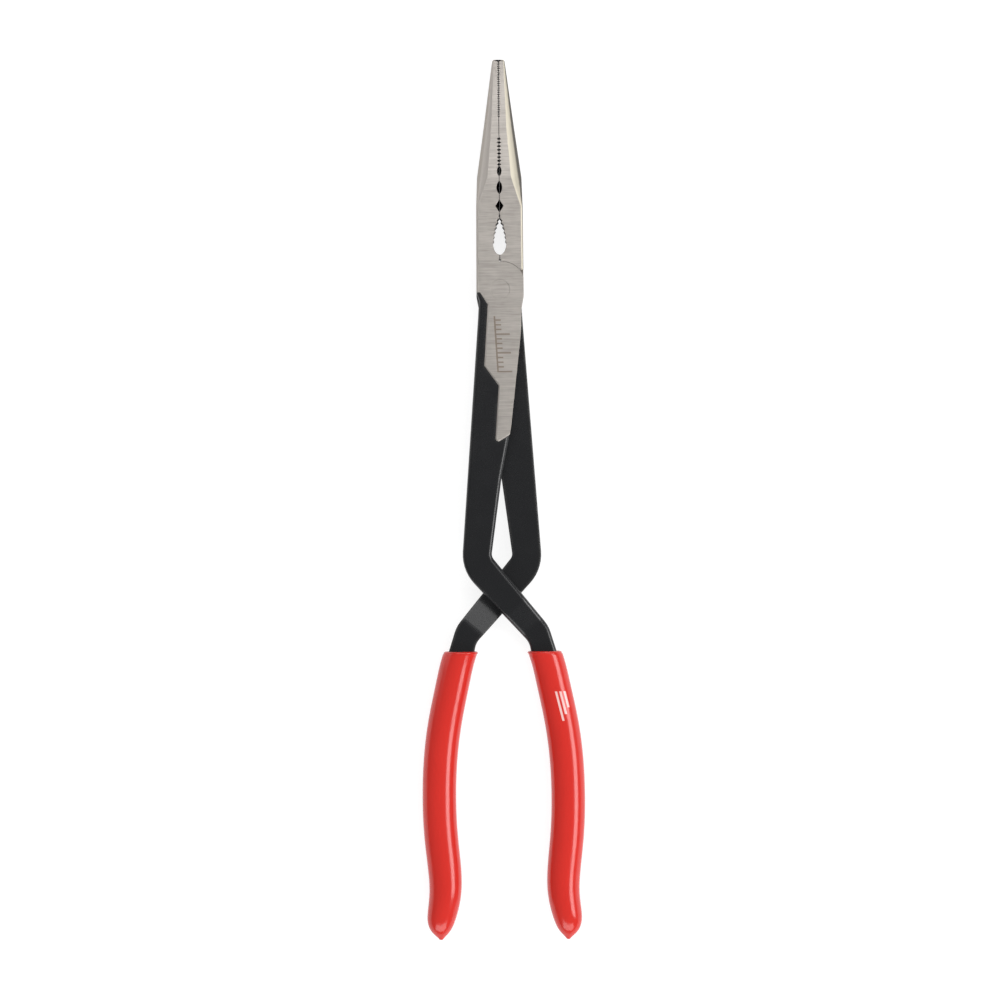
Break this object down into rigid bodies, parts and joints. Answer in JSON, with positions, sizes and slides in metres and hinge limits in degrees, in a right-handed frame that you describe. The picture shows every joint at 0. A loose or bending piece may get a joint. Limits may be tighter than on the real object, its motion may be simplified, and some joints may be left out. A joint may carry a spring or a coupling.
{
  "type": "needle nose pliers",
  "caption": "Long-reach needle nose pliers with tapered serrated jaws, a lap joint on a flush rivet, twice-crossing offset handles and dipped vinyl grips.",
  "frame": {"origin": "on the hinge axis, at the flat ground rear face of the head that the pliers rest on", "axes": "+Z along the hinge axis out of the front face, +Y towards the jaw tips, +X to the right seen from the front"},
  "size_m": [0.061, 0.3301, 0.012],
  "materials": {
    "forged_steel": "ground and brushed on the head and joint pad, satin black coating on the handles",
    "rivet_steel": "ground flush with the head",
    "grip_vinyl": "glossy dipped soft vinyl"
  },
  "bodies": {
    "rear": {"rear_half": "forged_steel", "pivot_rivet": "rivet_steel", "left_grip": "grip_vinyl"},
    "front": {"front_half": "forged_steel", "right_grip": "grip_vinyl"}
  },
  "joints": [
    {"name": "pivot", "type": "hinge", "parent": "rear", "child": "front", "pos_m": [0, 0, 0.006], "axis": [0, 0, 1], "range_deg": [0, 30]}
  ]
}
